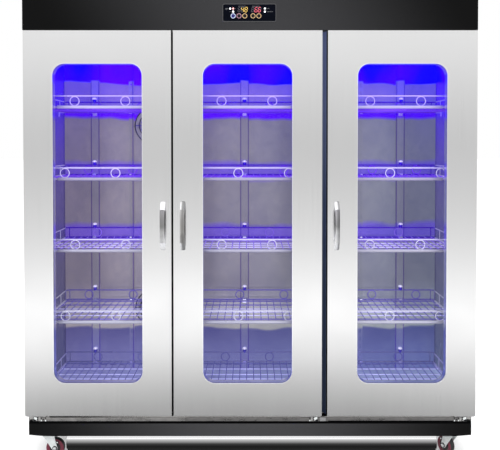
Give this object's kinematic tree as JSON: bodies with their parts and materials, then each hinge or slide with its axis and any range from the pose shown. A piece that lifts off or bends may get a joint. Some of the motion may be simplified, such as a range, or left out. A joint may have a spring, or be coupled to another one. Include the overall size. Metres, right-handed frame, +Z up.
{
  "type": "dish drying cabinet",
  "caption": "Free-standing stainless cabinet with hinged windowed doors, wire dish baskets, warm-air fans, ultraviolet lamps, a slide-out drip tray and swivel casters.",
  "frame": {"origin": "centre of the bounding box's bottom, on the floor", "axes": "+X to the right as seen from the front, +Y to the back, +Z up; the doors face -Y"},
  "size_m": [1.8, 0.64, 1.85],
  "materials": {
    "case_steel": "satin stainless sheet",
    "liner_steel": "bright stainless liner",
    "insulation": "mineral fibre",
    "frame_steel": "satin stainless sheet",
    "base_steel": "galvanised and lacquered",
    "header_black": "satin black coat",
    "plinth_black": "satin black coat",
    "rail_steel": "satin stainless sheet",
    "seal_strip": "ribbed, dark blue",
    "panel_glass": "gloss, dark blue-black",
    "board": "laminate",
    "key": "gloss cap with a light ring",
    "lamp_glass": "lit, blue violet",
    "lamp_holder": "moulded white",
    "heater": "quartz tubes with ceramic ends",
    "fan_plastic": "moulded black",
    "fan_guard": "plated wire",
    "fan_rotor": "moulded black",
    "upright_steel": "satin stainless",
    "clip_steel": "polished",
    "basket_wire": "polished stainless wire",
    "hinge_steel": "zinc plated",
    "door_steel": "satin stainless, brushed",
    "door_glass": "clear toughened",
    "gasket": "soft magnetic seal",
    "handle_chrome": "satin with bright ends",
    "caster_zinc": "zinc plated",
    "caster_wheel": "dark red core, black tread",
    "tray_steel": "polished stainless",
    "gland": "moulded black"
  },
  "bodies": {
    "cabinet": {"left_side_panel": "case_steel", "right_side_panel": "case_steel", "back_panel": "case_steel", "top_panel": "case_steel", "inner_liner_panels": "liner_steel", "insulation_batts": "insulation", "partition_walls": "liner_steel", "face_frame": "frame_steel", "rear_duct_panel": "liner_steel", "base_frame": "base_steel", "base_pan": "base_steel", "header_fascia": "header_black", "lower_front_rail": "rail_steel", "plinth_fascia": "plinth_black", "mullion_seal": "seal_strip", "control_panel_glass": "panel_glass", "control_board": "board", "uv_lamps": "lamp_glass", "lamp_holders": "lamp_holder", "heater_tubes": "heater", "fan_housings": "fan_plastic", "fan_guards": "fan_guard", "shelf_uprights": "upright_steel", "shelf_clips": "clip_steel", "shelf_baskets_left": "basket_wire", "shelf_baskets_centre": "basket_wire", "shelf_baskets_right": "basket_wire", "hinge_plates": "hinge_steel", "caster_plates": "caster_zinc", "tray_runners": "base_steel", "cable_gland": "gland"},
    "door_left": {"door_shell_left": "door_steel", "door_glass_left": "door_glass", "door_gasket_left": "gasket", "door_handle_left": "handle_chrome"},
    "door_centre": {"door_shell_centre": "door_steel", "door_glass_centre": "door_glass", "door_gasket_centre": "gasket", "door_handle_centre": "handle_chrome"},
    "door_right": {"door_shell_right": "door_steel", "door_glass_right": "door_glass", "door_gasket_right": "gasket", "door_handle_right": "handle_chrome"},
    "drip_tray": {"drip_tray": "tray_steel"},
    "fan_upper": {"fan_rotor_upper": "fan_rotor"},
    "fan_lower": {"fan_rotor_lower": "fan_rotor"},
    "key_1": {"key_button_1": "key"},
    "key_2": {"key_button_2": "key"},
    "key_3": {"key_button_3": "key"},
    "key_4": {"key_button_4": "key"},
    "key_5": {"key_button_5": "key"},
    "swivel_front_left": {"caster_fork_front_left": "caster_zinc"},
    "wheel_front_left": {"caster_wheel_front_left": "caster_wheel"},
    "swivel_front_right": {"caster_fork_front_right": "caster_zinc"},
    "wheel_front_right": {"caster_wheel_front_right": "caster_wheel"},
    "swivel_rear_left": {"caster_fork_rear_left": "caster_zinc"},
    "wheel_rear_left": {"caster_wheel_rear_left": "caster_wheel"},
    "swivel_rear_right": {"caster_fork_rear_right": "caster_zinc"},
    "wheel_rear_right": {"caster_wheel_rear_right": "caster_wheel"}
  },
  "joints": [
    {"name": "door_left_hinge", "type": "hinge", "parent": "cabinet", "child": "door_left", "pos_m": [-0.887, -0.26, 0.95], "axis": [0, 0, -1], "range_deg": [0, 110]},
    {"name": "door_centre_hinge", "type": "hinge", "parent": "cabinet", "child": "door_centre", "pos_m": [0.274, -0.26, 0.95], "axis": [0, 0, 1], "range_deg": [0, 110]},
    {"name": "door_right_hinge", "type": "hinge", "parent": "cabinet", "child": "door_right", "pos_m": [0.888, -0.26, 0.95], "axis": [0, 0, 1], "range_deg": [0, 110]},
    {"name": "drip_tray_slide", "type": "slide", "parent": "cabinet", "child": "drip_tray", "axis": [0, -1, 0], "range_m": [0, 0.35]},
    {"name": "fan_upper_spin", "type": "hinge", "parent": "cabinet", "child": "fan_upper", "pos_m": [-0.453, 0.24, 1.358], "axis": [0, 1, 0], "continuous": true},
    {"name": "fan_lower_spin", "type": "hinge", "parent": "cabinet", "child": "fan_lower", "pos_m": [-0.453, 0.24, 0.5], "axis": [0, 1, 0], "continuous": true},
    {"name": "key_1_press", "type": "slide", "parent": "cabinet", "child": "key_1", "axis": [0, 1, 0], "range_m": [0, 0.001], "stiffness_N_per_m": 300},
    {"name": "key_2_press", "type": "slide", "parent": "cabinet", "child": "key_2", "axis": [0, 1, 0], "range_m": [0, 0.001], "stiffness_N_per_m": 300},
    {"name": "key_3_press", "type": "slide", "parent": "cabinet", "child": "key_3", "axis": [0, 1, 0], "range_m": [0, 0.001], "stiffness_N_per_m": 300},
    {"name": "key_4_press", "type": "slide", "parent": "cabinet", "child": "key_4", "axis": [0, 1, 0], "range_m": [0, 0.001], "stiffness_N_per_m": 300},
    {"name": "key_5_press", "type": "slide", "parent": "cabinet", "child": "key_5", "axis": [0, 1, 0], "range_m": [0, 0.001], "stiffness_N_per_m": 300},
    {"name": "swivel_front_left_turn", "type": "hinge", "parent": "cabinet", "child": "swivel_front_left", "pos_m": [-0.82, -0.225, 0.09], "axis": [0, 0, 1], "continuous": true},
    {"name": "swivel_front_right_turn", "type": "hinge", "parent": "cabinet", "child": "swivel_front_right", "pos_m": [0.82, -0.225, 0.09], "axis": [0, 0, 1], "continuous": true},
    {"name": "swivel_rear_left_turn", "type": "hinge", "parent": "cabinet", "child": "swivel_rear_left", "pos_m": [-0.82, 0.225, 0.09], "axis": [0, 0, 1], "continuous": true},
    {"name": "swivel_rear_right_turn", "type": "hinge", "parent": "cabinet", "child": "swivel_rear_right", "pos_m": [0.82, 0.225, 0.09], "axis": [0, 0, 1], "continuous": true},
    {"name": "wheel_front_left_roll", "type": "hinge", "parent": "swivel_front_left", "child": "wheel_front_left", "pos_m": [-0.792, -0.225, 0.0375], "axis": [0, 1, 0], "continuous": true},
    {"name": "wheel_front_right_roll", "type": "hinge", "parent": "swivel_front_right", "child": "wheel_front_right", "pos_m": [0.80516, -0.20125, 0.0375], "axis": [-0.848, -0.5299, 0], "continuous": true},
    {"name": "wheel_rear_left_roll", "type": "hinge", "parent": "swivel_rear_left", "child": "wheel_rear_left", "pos_m": [-0.81275, 0.25205, 0.0375], "axis": [-0.9659, 0.2588, 0], "continuous": true},
    {"name": "wheel_rear_right_roll", "type": "hinge", "parent": "swivel_rear_right", "child": "wheel_rear_right", "pos_m": [0.81275, 0.25205, 0.0375], "axis": [-0.9659, -0.2588, 0], "continuous": true}
  ]
}
